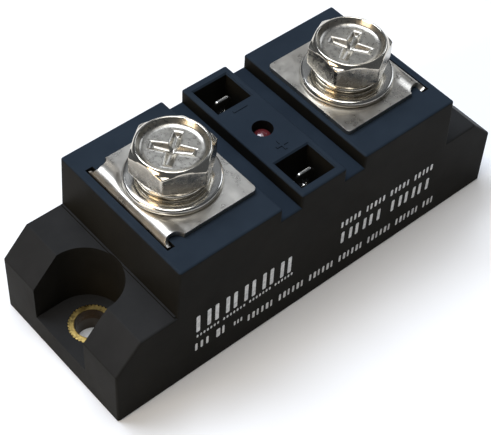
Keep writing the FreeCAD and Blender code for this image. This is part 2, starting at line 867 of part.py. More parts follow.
def make_input_tab(label, side):
    """A push-on blade with a tapered tip and a pin that goes down to the board."""
    body = new_body(label)
    sketch = new_sketch(body, "BladeFace", "XZ_Plane", S.tab_place * -side - S.tab_thick / 2)
    shoulder = S.tab_tip - S.tab_taper
    foot = S.board_bottom - S.pin_overrun
    half = S.tab_half_width
    pin = S.tab_pin_half
    draw_outline(sketch, [(-pin, foot), (pin, foot), (pin, S.tab_shoulder), (half, S.tab_shoulder),
                          (half, shoulder), (S.tab_tip_half, S.tab_tip), (-S.tab_tip_half, S.tab_tip),
                          (-half, shoulder), (-half, S.tab_shoulder), (-pin, S.tab_shoulder)])
    shape_from(body, "Pad", "Blade", sketch, S.tab_thick)
    place(body)
    return body


def make_lamp():
    """A 3 mm lamp: flange, barrel and dome."""
    flange_top = S.lamp_seat + S.lamp_flange_height
    dome_centre = S.lamp_top - S.lamp_radius
    flange = rod("lamp_flange", 0, 0, S.lamp_seat, flange_top, S.lamp_flange)
    barrel = rod("lamp_barrel", 0, 0, S.lamp_seat, dome_centre, S.lamp_radius)
    dome = document.addObject("Part::Sphere", "lamp_dome")
    bind(dome, "Radius", S.lamp_radius)
    place(dome, 0, 0, dome_centre)
    return join("status_lamp", [flange, barrel, dome])


def make_lamp_leads():
    half = S.lead_width / 2
    foot = S.board_bottom - S.pin_overrun
    leads = []
    for side in (-1, 1):
        middle = S.lead_pitch / 2 * side
        low = (middle - half, -half, foot)
        high = (middle + half, half, S.lamp_seat)
        leads.append(box("lamp_lead", low, high))
    return group("lamp_leads", leads)


# ---------------------------------------------------------------- power stage

def make_ceramic():
    low = (-(S.ceramic_length / 2), -(S.ceramic_width / 2), S.plate_thick)
    high = (S.ceramic_length / 2, S.ceramic_width / 2, CERAMIC_TOP)
    return label_alone(box("ceramic_substrate", low, high), "ceramic_substrate")


def label_alone(thing, label):
    thing.Label = label
    return thing


def make_copper_pads():
    half = S.copper_half_width
    left = box("left_pad", (-S.copper_end, -half, CERAMIC_TOP), (-S.copper_half_gap, half, COPPER_TOP))
    right = box("right_pad", (S.copper_half_gap, -half, CERAMIC_TOP), (S.copper_end, half, COPPER_TOP))
    return group("copper_pads", [left, right])


def make_thyristor(label, side):
    """A bare thyristor chip, soldered on its own copper pad."""
    chip = document.addObject("Part::Box", label)
    bind(chip, "Length", S.chip_side)
    bind(chip, "Width", S.chip_side)
    bind(chip, "Height", S.chip_thick)
    x = S.chip_place_along * side - S.chip_side / 2
    y = S.chip_place_across * -side - S.chip_side / 2
    place(chip, x, y, COPPER_TOP)
    return label_alone(chip, label)


def make_strap(label, side):
    """A bent copper strap from a chip's top over the gap to the other pad, seen from the left chip."""
    body = new_body(label)
    sketch = new_sketch(body, "StrapSide", "XZ_Plane", -S.chip_place_across)
    foot = S.strap_foot
    thick = S.strap_thick
    start = -(S.chip_place_along + foot / 2)
    rise = start + foot
    land = S.copper_half_gap + foot * 0.6
    arch = CHIP_TOP + S.strap_arch
    draw_outline(sketch, [(start, CHIP_TOP), (rise, CHIP_TOP), (rise, arch - thick), (land, arch - thick),
                          (land, COPPER_TOP), (land + foot, COPPER_TOP), (land + foot, COPPER_TOP + thick),
                          (land + thick, COPPER_TOP + thick), (land + thick, arch), (rise - thick, arch),
                          (rise - thick, CHIP_TOP + thick), (start, CHIP_TOP + thick)])
    shape_from(body, "Pad", "Strap", sketch, S.strap_width, both_ways=True)
    place(body, turn=0.0 if side < 0 else HALF_TURN)
    return body


def pin_places():
    """Where the gate pins stand: one on each chip's corner, one beside it on the pad."""
    places = []
    for side in (-1, 1):
        for along, under in ((S.pin_along, CHIP_TOP), (S.pin_along + S.pin_pitch, COPPER_TOP)):
            places.append((along * side, S.pin_across * -side, under))
    return places


def make_gate_pins():
    top = BOARD_TOP + S.pin_overrun
    pins = [rod("gate_pin", x, y, under, top, S.pin_radius) for x, y, under in pin_places()]
    return group("gate_pins", pins)


# ---------------------------------------------------------------- control board and its parts

def make_control_board():
    half_length = S.board_half_length
    half_width = S.board_half_width
    board = box("board_blank", (-half_length, -half_width, S.board_bottom), (half_length, half_width, BOARD_TOP))
    under = S.board_bottom - 1
    over = BOARD_TOP + 1
    holes = [rod("pin_hole", x, y, under, over, S.pin_radius + S.hole_clearance) for x, y, low in pin_places()]
    for side in (-1, 1):
        lead_hole = S.lead_width / 2 * 1.5 + S.hole_clearance
        holes.append(rod("lead_hole", S.lead_pitch / 2 * side, 0, under, over, lead_hole))
        half = S.tab_pin_half + S.hole_clearance
        thick = S.tab_thick / 2 + S.hole_clearance
        middle = S.tab_place * side
        holes.append(box("tab_hole", (-half, middle - thick, under), (half, middle + thick, over)))
    return cut("control_board", board, holes)


def make_optocoupler():
    """A six-lead optocoupler standing on the board."""
    low_z = BOARD_TOP + S.coupler_stand
    half_x = S.coupler_width / 2
    half_y = S.coupler_length / 2
    centre = -S.coupler_place
    pieces = [box("coupler_body", (centre - half_x, -half_y, low_z),
                  (centre + half_x, half_y, low_z + S.coupler_height - S.coupler_stand))]
    half_lead = S.coupler_lead / 2
    for side in (-1, 1):
        for row in (-1, 0, 1):
            edge = centre + half_x * side
            y = S.coupler_pitch * row
            low = (edge - half_lead, y - half_lead, BOARD_TOP)
            pieces.append(box("coupler_lead", low, (edge + half_lead, y + half_lead, low_z + S.coupler_height / 2)))
    return join("optocoupler", pieces)


def make_resistors():
    pieces = []
    for side in (-1, 1):
        for way in (-1, 1):
            x = S.resistor_along * side
            y = S.resistor_across * way
            low = (x - S.resistor_width / 2, y - S.resistor_length / 2, BOARD_TOP)
            high = (x + S.resistor_width / 2, y + S.resistor_length / 2, BOARD_TOP + S.resistor_thick)
            pieces.append(box("resistor", low, high))
    return group("resistors", pieces)


def make_capacitor():
    x = S.capacitor_place
    low = (x - S.capacitor_width / 2, -(S.capacitor_length / 2), BOARD_TOP)
    high = (x + S.capacitor_width / 2, S.capacitor_length / 2, BOARD_TOP + S.capacitor_height)
    return label_alone(box("snubber_capacitor", low, high), "snubber_capacitor")


def make_varistor():
    disc = rod("varistor", -S.bolt_place, 0, BOARD_TOP, BOARD_TOP + S.varistor_thick, S.varistor_radius)
    return label_alone(disc, "varistor")


# ---------------------------------------------------------------- the whole relay

def make_relay():
    parts = [make_case(), make_base_plate()]
    for side, name, bolt_turn, split_turn in ((-1, "left", LEFT_BOLT_TURN, LEFT_SPLIT_TURN),
                                              (1, "right", RIGHT_BOLT_TURN, RIGHT_SPLIT_TURN)):
        parts.append(make_bush(name + "_bush", side))
        parts.append(make_terminal(name + "_terminal", side))
        parts.append(make_nut(name + "_nut", side))
        parts.append(make_flat_washer(name + "_flat_washer", side))
        parts.append(make_spring_washer(name + "_spring_washer", side, split_turn))
        parts.append(make_bolt(name + "_bolt", side, bolt_turn))
        parts.append(make_thyristor(name + "_thyristor", side))
        parts.append(make_strap(name + "_cathode_strap", side))
    parts.append(make_input_tab("front_input_tab", -1))
    parts.append(make_input_tab("back_input_tab", 1))
    parts += [make_lamp(), make_lamp_leads(), make_ceramic(), make_copper_pads(), make_gate_pins()]
    parts += [make_control_board(), make_optocoupler(), make_resistors(), make_capacitor(), make_varistor()]
    return parts


def check_document():
    document.recompute()
    for item in document.Objects:
        if "Invalid" in item.State or "Error" in item.State:
            raise RuntimeError(item.Label + " is " + ", ".join(item.State))


def write_parts(parts):
    os.makedirs("parts", exist_ok=True)
    for part in parts:
        if part.Shape.isNull() or not part.Shape.isValid():
            raise RuntimeError(part.Label + " has no valid shape")
        part.Shape.exportStep(os.path.join("parts", part.Label + ".step"))
        span = part.Shape.BoundBox
        print(part.Label, "solids", len(part.Shape.Solids), "volume", round(part.Shape.Volume, 1),
              "z", round(span.ZMin, 2), round(span.ZMax, 2))


relay_parts = make_relay()
check_document()
write_parts(relay_parts)
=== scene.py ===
import json
import math

import bmesh
import bpy
import numpy as np
from mathutils import Matrix, Vector


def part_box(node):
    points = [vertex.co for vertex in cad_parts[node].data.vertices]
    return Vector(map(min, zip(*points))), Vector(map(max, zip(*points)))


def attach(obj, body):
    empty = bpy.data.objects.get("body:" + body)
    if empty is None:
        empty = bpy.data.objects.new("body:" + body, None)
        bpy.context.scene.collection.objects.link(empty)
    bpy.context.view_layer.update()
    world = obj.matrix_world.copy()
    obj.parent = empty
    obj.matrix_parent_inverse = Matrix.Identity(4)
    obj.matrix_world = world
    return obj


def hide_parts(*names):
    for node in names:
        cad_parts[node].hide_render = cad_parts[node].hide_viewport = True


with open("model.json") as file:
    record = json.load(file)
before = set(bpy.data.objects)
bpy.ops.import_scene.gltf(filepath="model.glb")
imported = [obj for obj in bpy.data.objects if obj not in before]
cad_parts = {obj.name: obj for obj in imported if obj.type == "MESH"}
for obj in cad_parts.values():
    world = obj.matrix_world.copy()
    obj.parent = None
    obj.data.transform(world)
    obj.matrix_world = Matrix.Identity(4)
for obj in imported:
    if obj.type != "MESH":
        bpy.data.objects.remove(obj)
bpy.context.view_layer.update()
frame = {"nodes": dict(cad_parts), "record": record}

# Shapes are in millimetres, which MM turns into metres. Materials, lamps and the camera, and what
# comes from the frame, are in metres.
MM = 0.001
FULL_TURN = 2 * math.pi
SIDES = {"left": -1, "right": 1}


# ---------------------------------------------------------------- material helpers

class Nodes:
    """A material's node tree, with short calls for the few nodes used here."""

    def __init__(self, name):
        self.material = bpy.data.materials.new(name)
        self.material.use_nodes = True
        self.tree = self.material.node_tree
        self.shader = self.tree.nodes["Principled BSDF"]
        coordinates = self.tree.nodes.new("ShaderNodeTexCoord")
        self.place = coordinates.outputs["Object"]
        self.facing = coordinates.outputs["Normal"]

    def add(self, kind, **settings):
        node = self.tree.nodes.new(kind)
        for name, value in settings.items():
            setattr(node, name, value)
        return node

    def link(self, source, target):
        self.tree.links.new(source, target)

    def finished(self, colour, roughness=None, normal=None, **values):
        """Connect the shader, set its plain values and return the material."""
        sources = {"Base Color": colour, "Roughness": roughness, "Normal": normal}
        for socket, source in sources.items():
            if source is not None:
                self.link(source, self.shader.inputs[socket])
        for name, value in values.items():
            self.shader.inputs[name.replace("_", " ")].default_value = value
        return self.material

    def stretched(self, scale):
        mapping = self.add("ShaderNodeMapping")
        mapping.inputs["Scale"].default_value = scale
        self.link(self.place, mapping.inputs["Vector"])
        return mapping.outputs["Vector"]

    def noise(self, scale, detail=3.0, roughness=0.5, stretch=None):
        node = self.add("ShaderNodeTexNoise")
        node.inputs["Scale"].default_value = scale
        node.inputs["Detail"].default_value = detail
        node.inputs["Roughness"].default_value = roughness
        self.link(self.stretched(stretch) if stretch else self.place, node.inputs["Vector"])
        return node.outputs["Fac"]

    def ramp(self, source, low, high, start=0.3, end=0.7):
        """A colour that goes from low to high as the source goes from start to end."""
        node = self.add("ShaderNodeValToRGB")
        stops = zip(node.color_ramp.elements, (start, end), (low, high))
        for element, position, colour in stops:
            element.position = position
            element.color = (*colour, 1.0)
        self.link(source, node.inputs["Fac"])
        return node.outputs["Color"]

    def span(self, source, low, high, start=0.3, end=0.7):
        """A number that goes from low to high as the source goes from start to end."""
        node = self.add("ShaderNodeMapRange")
        node.inputs["From Min"].default_value = start
        node.inputs["From Max"].default_value = end
        node.inputs["To Min"].default_value = low
        node.inputs["To Max"].default_value = high
        self.link(source, node.inputs["Value"])
        return node.outputs["Result"]

    def blend(self, factor, first, second):
        """A mix of two colours; the second may be a plain one."""
        node = self.add("ShaderNodeMix", data_type="RGBA")
        self.link(factor, node.inputs["Factor"])
        self.link(first, node.inputs["A"])
        if isinstance(second, tuple):
            node.inputs["B"].default_value = (*second, 1.0)
        else:
            self.link(second, node.inputs["B"])
        return node.outputs["Result"]

    def bump(self, source, distance, after=None):
        node = self.add("ShaderNodeBump")
        node.inputs["Distance"].default_value = distance
        node.inputs["Strength"].default_value = 1.0
        self.link(source, node.inputs["Height"])
        if after is not None:
            self.link(after, node.inputs["Normal"])
        return node.outputs["Normal"]

    def split(self, vector):
        node = self.add("ShaderNodeSeparateXYZ")
        self.link(vector, node.inputs["Vector"])
        return node.outputs

    def near_bore(self, full, none):
        """1 within a radius of either mounting hole's axis, falling to 0 at a larger one."""
        low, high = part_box("right_bush")
        place = self.split(self.place)
        mirrored = self.add("ShaderNodeMath", operation="ABSOLUTE")
        self.link(place["X"], mirrored.inputs[0])
        offset = self.add("ShaderNodeMath", operation="SUBTRACT")
        self.link(mirrored.outputs["Value"], offset.inputs[0])
        offset.inputs[1].default_value = (low.x + high.x) / 2
        level = self.add("ShaderNodeCombineXYZ")
        self.link(offset.outputs["Value"], level.inputs["X"])
        self.link(place["Y"], level.inputs["Y"])
        length = self.add("ShaderNodeVectorMath", operation="LENGTH")
        self.link(level.outputs["Vector"], length.inputs[0])
        return self.span(length.outputs["Value"], 1.0, 0.0, full, none)

    def facing_up(self, none, full):
        """0 where the normal's upward part is small, rising to 1 where it is large."""
        return self.span(self.split(self.facing)["Z"], 0.0, 1.0, none, full)

    def above(self, none, full):
        """0 below one height, rising to 1 at another."""
        return self.span(self.split(self.place)["Z"], 0.0, 1.0, none, full)


# ---------------------------------------------------------------- materials

# Heights in metres between which the case's upward faces go from the ear faces' greyer painted
# light to the top's bluish painted sky light.
BETWEEN_EARS_AND_TOP = (0.021, 0.027)
# Radii in metres from a hole's axis where the painted shade in the bush's bore is full and where it
# ends.
BUSH_BORE = (0.0032, 0.0034)
# Radii in metres from a hole's axis where the painted shade in the plate's holes is full and where
# it ends.
PLATE_HOLE = (0.0037, 0.0041)


def case_plastic():
    """Black moulded thermoset with spark-eroded grain, faint flow marks and specks of dust.

    Painted light: faces that look sideways get a brown-black painted shade, the ear faces that look
    up a greyer painted light, and the top a bluish painted sky light."""
    n = Nodes("case_plastic")
    patches = n.noise(110.0, 4.0, 0.6)
    # Painted light: three tones are chosen by which way a face looks and how high it is. Faces that
    # look sideways get a brown-black painted shade, upward ear faces a greyer painted light, and
    # the top a bluish painted sky light.
    shaded_sides = n.ramp(patches, (0.0093, 0.0087, 0.0072), (0.0129, 0.0120, 0.0099), 0.32, 0.68)
    lit_ear_faces = n.ramp(patches, (0.0180, 0.0182, 0.0184), (0.0240, 0.0242, 0.0244), 0.32, 0.68)
    top = n.ramp(patches, (0.0142, 0.0208, 0.0302), (0.0184, 0.0266, 0.0376), 0.32, 0.68)
    upper = n.blend(n.above(*BETWEEN_EARS_AND_TOP), lit_ear_faces, top)
    tone = n.blend(n.facing_up(0.15, 0.70), shaded_sides, upper)
    dust = n.span(n.noise(2600.0, 2.0, 0.6), 0.0, 0.3, 0.70, 0.85)
    rough = n.span(n.noise(60.0, 5.0, 0.65), 0.42, 0.54)
    flow = n.bump(n.noise(240.0, 2.0), 0.00003)
    grain = n.bump(n.noise(4200.0, 2.0), 0.000009, flow)
    return n.finished(n.blend(dust, tone, (0.05, 0.05, 0.05)), rough, grain,
                      IOR=1.5, Specular_IOR_Level=0.022)


def brass_bush():
    """Knurled brass with stains, with painted shade darkening it inside the bore."""
    n = Nodes("brass")
    clean = n.ramp(n.noise(400.0, 4.0), (0.34, 0.23, 0.07), (0.62, 0.46, 0.16))
    stain = n.span(n.noise(1100.0, 5.0, 0.7), 0.0, 0.8, 0.50, 0.66)
    stained = n.blend(stain, clean, (0.16, 0.10, 0.035))
    # Painted shade: the brass goes to near black inside the bore.
    tone = n.blend(n.near_bore(*BUSH_BORE), stained, (0.035, 0.018, 0.005))
    rough = n.span(n.noise(900.0, 3.0), 0.26, 0.46)
    return n.finished(tone, rough, n.bump(n.noise(1800.0, 2.0), 0.00003), Metallic=1.0)


def base_metal():
    """Milled plate with fine parallel lines, with painted shade darkening it inside the two
    mounting holes.
    """
    n = Nodes("base_metal")
    milled = n.ramp(n.noise(90.0, 4.0), (0.48, 0.47, 0.45), (0.60, 0.59, 0.57))
    # Painted shade: the plate goes to near black inside the mounting holes.
    tone = n.blend(n.near_bore(*PLATE_HOLE), milled, (0.05, 0.04, 0.03))
    rough = n.span(n.noise(360.0, 4.0, 0.6), 0.28, 0.42)
    lines = n.bump(n.noise(900.0, 3.0, 0.6, (1.0, 14.0, 1.0)), 0.000012)
    return n.finished(tone, rough, lines, Metallic=1.0)


def metal(name, low, high, rough, tone_scale=90.0, grain=None, wave=None):
    """A plated metal: the tone drifts, roughness varies in patches, grain and waves are bumps.

    A wave is a noise scale and a depth; a grain has the noise's stretch as well."""
    n = Nodes(name)
    tone = n.ramp(n.noise(tone_scale, 4.0), low, high)
    patches = n.span(n.noise(tone_scale * 4, 4.0, 0.6), *rough)
    normal = None
    if wave:
        scale, depth = wave
        normal = n.bump(n.noise(scale, 1.5), depth)
    if grain:
        scale, depth, stretch = grain
        normal = n.bump(n.noise(scale, 3.0, 0.6, stretch), depth, normal)
    return n.finished(tone, patches, normal, Metallic=1.0)


def plain(name, low, high, roughness, scale=300.0, bump=0.00001, **values):
    """A simple finish with a little variation, for the lamp, the ink and the parts inside."""
    n = Nodes(name)
    tone = n.ramp(n.noise(scale, 4.0), low, high, 0.35, 0.65)
    rough = n.span(n.noise(scale * 3, 3.0), roughness * 0.85, roughness * 1.15)
    return n.finished(tone, rough, n.bump(n.noise(scale * 8, 2.0), bump), **values)


METALS = {
    "terminal_nickel": dict(low=(0.44, 0.41, 0.36), high=(0.57, 0.54, 0.48), rough=(0.24, 0.38),
                            grain=(650.0, 0.000012, (1.0, 9.0, 1.0)), wave=(120.0, 0.00012)),
    "nut_steel": dict(low=(0.50, 0.50, 0.50), high=(0.62, 0.62, 0.61), rough=(0.28, 0.4)),
    "washer_steel": dict(low=(0.56, 0.53, 0.47), high=(0.70, 0.67, 0.61), rough=(0.12, 0.22),
                         wave=(220.0, 0.0001)),
    "spring_steel": dict(low=(0.56, 0.52, 0.44), high=(0.70, 0.66, 0.58), rough=(0.14, 0.26),
                         wave=(420.0, 0.00006)),
    "bolt_steel": dict(low=(0.60, 0.55, 0.46), high=(0.74, 0.70, 0.61), rough=(0.10, 0.19),
                       wave=(320.0, 0.00008)),
    "bolt_facet": dict(low=(0.46, 0.42, 0.35), high=(0.60, 0.56, 0.49), rough=(0.18, 0.32),
                       tone_scale=200.0, grain=(1500.0, 0.000004, (1.0, 1.0, 0.12)),
                       wave=(150.0, 0.00003)),
    "bolt_dish": dict(low=(0.36, 0.335, 0.29), high=(0.48, 0.455, 0.40), rough=(0.24, 0.36),
                      tone_scale=350.0, grain=(2600.0, 0.00001, (1.0, 1.0, 1.0)),
                      wave=(500.0, 0.00006)),
    "copper": dict(low=(0.60, 0.26, 0.14), high=(0.74, 0.38, 0.22), rough=(0.25, 0.4)),
    "tab_tin": dict(low=(0.55, 0.53, 0.49), high=(0.68, 0.66, 0.62), rough=(0.16, 0.28),
                    wave=(600.0, 0.00004)),
}
PLAINS = {
    "silicon": dict(low=(0.05, 0.055, 0.065), high=(0.09, 0.095, 0.11), roughness=0.2,
                    Metallic=0.6),
    "lamp_lens": dict(low=(0.070, 0.012, 0.014), high=(0.13, 0.022, 0.026), roughness=0.10,
                      bump=0.00002, Coat_Weight=1.0, Coat_Roughness=0.03),
    "ceramic": dict(low=(0.80, 0.79, 0.75), high=(0.88, 0.87, 0.84), roughness=0.45),
    "board": dict(low=(0.02, 0.12, 0.05), high=(0.035, 0.17, 0.07), roughness=0.35),
    "chip_plastic": dict(low=(0.012, 0.012, 0.013), high=(0.02, 0.02, 0.022), roughness=0.5),
    "resistor_body": dict(low=(0.015, 0.015, 0.02), high=(0.03, 0.03, 0.035), roughness=0.25),
    "capacitor_film": dict(low=(0.55, 0.36, 0.04), high=(0.66, 0.45, 0.07), roughness=0.35),
    "varistor_coat": dict(low=(0.03, 0.08, 0.3), high=(0.05, 0.12, 0.38), roughness=0.4),
    "print_ink": dict(low=(0.50, 0.50, 0.49), high=(0.72, 0.72, 0.70), roughness=0.5,
                      scale=1500.0),
}
MATERIALS = {"case_plastic": case_plastic(), "base_metal": base_metal(), "brass": brass_bush()}
MATERIALS.update({name: metal(name, **finish) for name, finish in METALS.items()})
MATERIALS.update({name: plain(name, **finish) for name, finish in PLAINS.items()})
SLOT_OF = {row["node"]: row["material_slot"] for row in frame["record"]["subparts"]}


def dress_cad_nodes():
    for node, piece in frame["nodes"].items():
        piece.data.materials.clear()
        piece.data.materials.append(MATERIALS[SLOT_OF[node]])


# ---------------------------------------------------------------- mesh helpers

CORNER_CUTS = 2
SOFT_ANGLE = 40.0


def new_piece(name, points, faces, looks, body, node=None, sharp=SOFT_ANGLE, marks=None):
    """A mesh piece in the object's frame that rides on a body and may stand for a CAD node.

    looks are its materials; marks give each face's place among them; edges turned by more than
    sharp degrees stay crisp."""
    mesh = bpy.data.meshes.new(name)
    mesh.from_pydata(points, [], faces)
    mesh.update()
    for look in looks:
        mesh.materials.append(MATERIALS[look])
    if marks is not None:
        mesh.polygons.foreach_set("material_index", marks)
    mesh.polygons.foreach_set("use_smooth", [True] * len(mesh.polygons))
    if sharp is not None:
        mesh.set_sharp_from_angle(angle=math.radians(sharp))
    piece = bpy.data.objects.new(name, mesh)
    bpy.context.scene.collection.objects.link(piece)
    if node:
        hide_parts(node)
    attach(piece, body)
    return piece


def arc(x, y, radius, start, end, count):
    """Points on a circle from one angle to another, in degrees."""
    return [(x + radius * math.cos(angle), y + radius * math.sin(angle))
            for angle in np.radians(np.linspace(start, end, count))]


def circle(x, y, radius, count):
    return arc(x, y, radius, 0, 360, count + 1)[:-1]


def rounded(path, closed=False):
    """A polyline with its corners cut, and the new corners cut again, until they look round."""
    path = [np.array(point, float) for point in path]
    for _ in range(CORNER_CUTS):
        following = path[1:] + path[:1] if closed else path[1:]
        cut = []
        for start, end in zip(path, following):
            cut += [start * 0.75 + end * 0.25, start * 0.25 + end * 0.75]
        path = cut if closed else [path[0]] + cut[1:-1] + [path[-1]]
    return path


def band(here, there, count):
    """Faces between two rings of points, given the index of each ring's first point."""
    return [(here + step, there + step, there + (step + 1) % count, here + (step + 1) % count)
            for step in range(count)]


def turned_skin(rows, angles, first, last, axis_x=0.0, base_z=0.0, turn=0.0):
    """Points and faces of a skin through rings about an upright axis, from top to bottom.

    Each row holds a radius and a height, each a number or one value per angle. A point on the
    axis closes each end, at the heights first and last."""
    count = len(angles)
    angles = angles + turn
    points = [(axis_x, 0.0, base_z + first * MM)]
    for radius, height in rows:
        radius = np.broadcast_to(radius, count) * MM
        height = np.broadcast_to(height, count) * MM + base_z
        points += list(zip(axis_x + radius * np.cos(angles), radius * np.sin(angles), height))
    points.append((axis_x, 0.0, base_z + last * MM))
    faces = [(0, 1 + step, 1 + (step + 1) % count) for step in range(count)]
    for row in range(len(rows) - 1):
        faces += band(1 + row * count, 1 + (row + 1) * count, count)
    tail = 1 + (len(rows) - 1) * count
    faces += [(tail + step, len(points) - 1, tail + (step + 1) % count) for step in range(count)]
    return points, faces


def ring_skin(section, angles, axis_x, base_z, lean=0.0, middle=0.0, closed=True):
    """A section swept about an upright axis.

    Where it isn't closed it has a gap between its last and first angle, with flat ends that lean
    about the height middle."""
    points = []
    for angle in angles:
        for radius, height in section:
            swing = angle + lean * (height - middle) / radius
            points.append((axis_x + radius * MM * math.cos(swing), radius * MM * math.sin(swing),
                           base_z + height * MM))
    count, rows = len(section), len(angles)
    faces = []
    for row in range(rows if closed else rows - 1):
        faces += band(row * count, (row + 1) % rows * count, count)
    if not closed:
        faces.append(tuple(range(count)))
        faces.append(tuple(reversed(range((rows - 1) * count, rows * count))))
    return points, faces


# ---------------------------------------------------------------- bolts

BOLT_TURN = {"left": 38.0, "right": 28.0}
BOLT_COLUMNS = 240
HEAD_HEIGHT = 6.1
HEAD_HALF_FLATS = 7.0
HEX_FROM_RADIUS = 6.3
FACETS_FROM_RADIUS = 6.9
HEX_CORNER_SHARPNESS = 60
CHAMFER_SHARPNESS = 90.0

DISH_FLOOR = 4.85
DISH_RINGS = 60
DISH_FIRST_RING = 0.10
DISH_LAST_RING = 4.95
DISH_WALL_END = 6.2

CROSS_REACH = 4.15
CROSS_HALF = 0.8
CROSS_FLARE = 0.3
CROSS_SLOPE = 1.15
CROSS_EDGE_SOFTNESS = 0.09
CROSS_END_RAMP = 0.8
CROSS_TIP_DEPTH = 0.05
CROSS_WING_DEPTH = 0.55
CROSS_MIDDLE_DEPTH = 0.55
CROSS_CENTRE_DEPTH = 1.13
BURR_HEIGHT = 0.03
BURR_OFFSET = 0.2
BURR_WIDTH = 0.18

SHANK_LENGTH = 15.5
COLLAR = ((4.35, 0.0), (4.05, -0.05), (3.95, -0.35))
THREAD_RADIUS = 4.0
THREAD_PITCH = 1.25
THREAD_DEPTH = 0.72
THREAD_ROWS_PER_PITCH = 8
THREAD_FIRST_ROW = 0.5
THREAD_LAST_ROW_GAP = 0.05
THREAD_RUNOUT_START = 0.6
THREAD_RUNOUT_LENGTH = 1.2
THREAD_RUNOUT_RELIEF = 0.06
THREAD_RIDGE_GAIN = 1.35
THREAD_RIDGE_FLAT = 0.18
TIP_CHAMFER = 0.9
TIP_RADIUS = 2.7

# The screw's materials, and each one's place in its list.
SCREW_LOOKS = ("bolt_steel", "bolt_facet", "bolt_dish")
STEEL, FACET, DISH = range(3)


def smooth_step(share):
    return share * share * (3 - 2 * share)


def wing_edges(x, y):
    """How far inside the edge of each pair of wings a point is, and how far out along them."""
    for along, across in ((np.abs(x), np.abs(y)), (np.abs(y), np.abs(x))):
        half = CROSS_HALF + CROSS_FLARE * (1 - along / CROSS_REACH)
        yield np.minimum(half - across, CROSS_REACH - along), along


def recess_depth(x, y):
    """Depth of the cross recess below the dish floor: four soft wings that deepen to the middle."""
    total = np.zeros_like(x)
    # The clip and the small number below keep the powers finite.
    for inside, along in wing_edges(x, y):
        ratio = np.clip(inside / CROSS_EDGE_SOFTNESS, -30, 30)
        wall = CROSS_EDGE_SOFTNESS * np.log1p(np.exp(ratio)) * CROSS_SLOPE + 1e-6
        end_ramp = smooth_step(np.clip((CROSS_REACH - along) / CROSS_END_RAMP, 0, 1))
        floor = (CROSS_TIP_DEPTH + CROSS_WING_DEPTH * end_ramp
                 + CROSS_MIDDLE_DEPTH * np.clip(1 - along / CROSS_REACH, 0, 1))
        total += (wall ** -4 + floor ** -4) ** -1
    return total ** 0.25


def recess_burr(x, y):
    """The low raised lip that the punch leaves round the recess."""
    edge = np.maximum(*(inside for inside, along in wing_edges(x, y)))
    return BURR_HEIGHT * np.exp(-((edge + BURR_OFFSET) / BURR_WIDTH) ** 2)


def hexagon_radius(angles):
    """Radius of a hexagon with softened corners, one of them at angle 0."""
    total = np.zeros_like(angles)
    for side in range(6):
        facing = np.cos(angles - math.radians(30 + 60 * side))
        total += np.clip(facing / HEAD_HALF_FLATS, 0, None) ** HEX_CORNER_SHARPNESS
    return total ** (-1 / HEX_CORNER_SHARPNESS)


def head_envelope():
    """The head's outline as turned on a lathe, from the dish's wall over the rim to the seat."""
    top = HEAD_HEIGHT
    return rounded([(5.0, DISH_FLOOR), (5.38, DISH_FLOOR + 0.07), (5.72, DISH_FLOOR + 0.24),
                    (5.93, DISH_FLOOR + 0.50), (6.32, top - 0.10), (6.42, top), (6.60, top),
                    (6.76, top - 0.10), (7.03, top - 0.40), (7.24, top - 0.68),
                    (7.60, top - 0.86), (8.30, top - 1.20), (8.60, top / 2), (8.30, 1.60),
                    (7.55, 1.15), (7.10, 0.85), (6.92, 0.42), (6.78, 0.10), (6.55, 0.0),
                    (6.2, 0.0)])


def thread_radius(angles, height):
    """A right-hand thread that runs out under the head and tapers off at the tip."""
    phase = np.mod(height / THREAD_PITCH - angles / FULL_TURN, 1.0)
    ridge = np.clip(np.abs(2 * phase - 1) * THREAD_RIDGE_GAIN - THREAD_RIDGE_FLAT, 0, 1)
    start = min(1.0, max(0.0, (-height - THREAD_RUNOUT_START) / THREAD_RUNOUT_LENGTH))
    radius = THREAD_RADIUS - THREAD_DEPTH * (1 - ridge) * start - THREAD_RUNOUT_RELIEF * (1 - start)
    taper = max(0.0, -height - (SHANK_LENGTH - TIP_CHAMFER))
    return np.minimum(radius, THREAD_RADIUS - taper)


def bolt_rows(angles):
    """The bolt's rings from the dish's middle to the tip: radius, height and look of each."""
    rows = []
    x, y = np.cos(angles), np.sin(angles)
    for radius in np.linspace(DISH_FIRST_RING, DISH_LAST_RING, DISH_RINGS):
        depth = recess_depth(x * radius, y * radius)
        rows.append((radius, DISH_FLOOR - depth + recess_burr(x * radius, y * radius), DISH))
    hexagon = hexagon_radius(angles)
    for radius, height in head_envelope():
        in_dish = radius < DISH_WALL_END and height > DISH_FLOOR - 0.01
        look = DISH if in_dish else STEEL
        if radius > FACETS_FROM_RADIUS:
            look = np.where(hexagon < radius, FACET, STEEL)
        if radius > HEX_FROM_RADIUS:
            # The smaller of the turned and the six-sided outline, rounded where they meet.
            total = hexagon ** -CHAMFER_SHARPNESS + radius ** -CHAMFER_SHARPNESS
            radius = total ** (-1 / CHAMFER_SHARPNESS)
        rows.append((radius, height, look))
    rows += [(radius, height, STEEL) for radius, height in COLLAR]
    for height in np.arange(-THREAD_FIRST_ROW, -SHANK_LENGTH + THREAD_LAST_ROW_GAP,
                            -THREAD_PITCH / THREAD_ROWS_PER_PITCH):
        rows.append((thread_radius(angles, height), height, STEEL))
    rows.append((TIP_RADIUS, -SHANK_LENGTH, STEEL))
    return rows


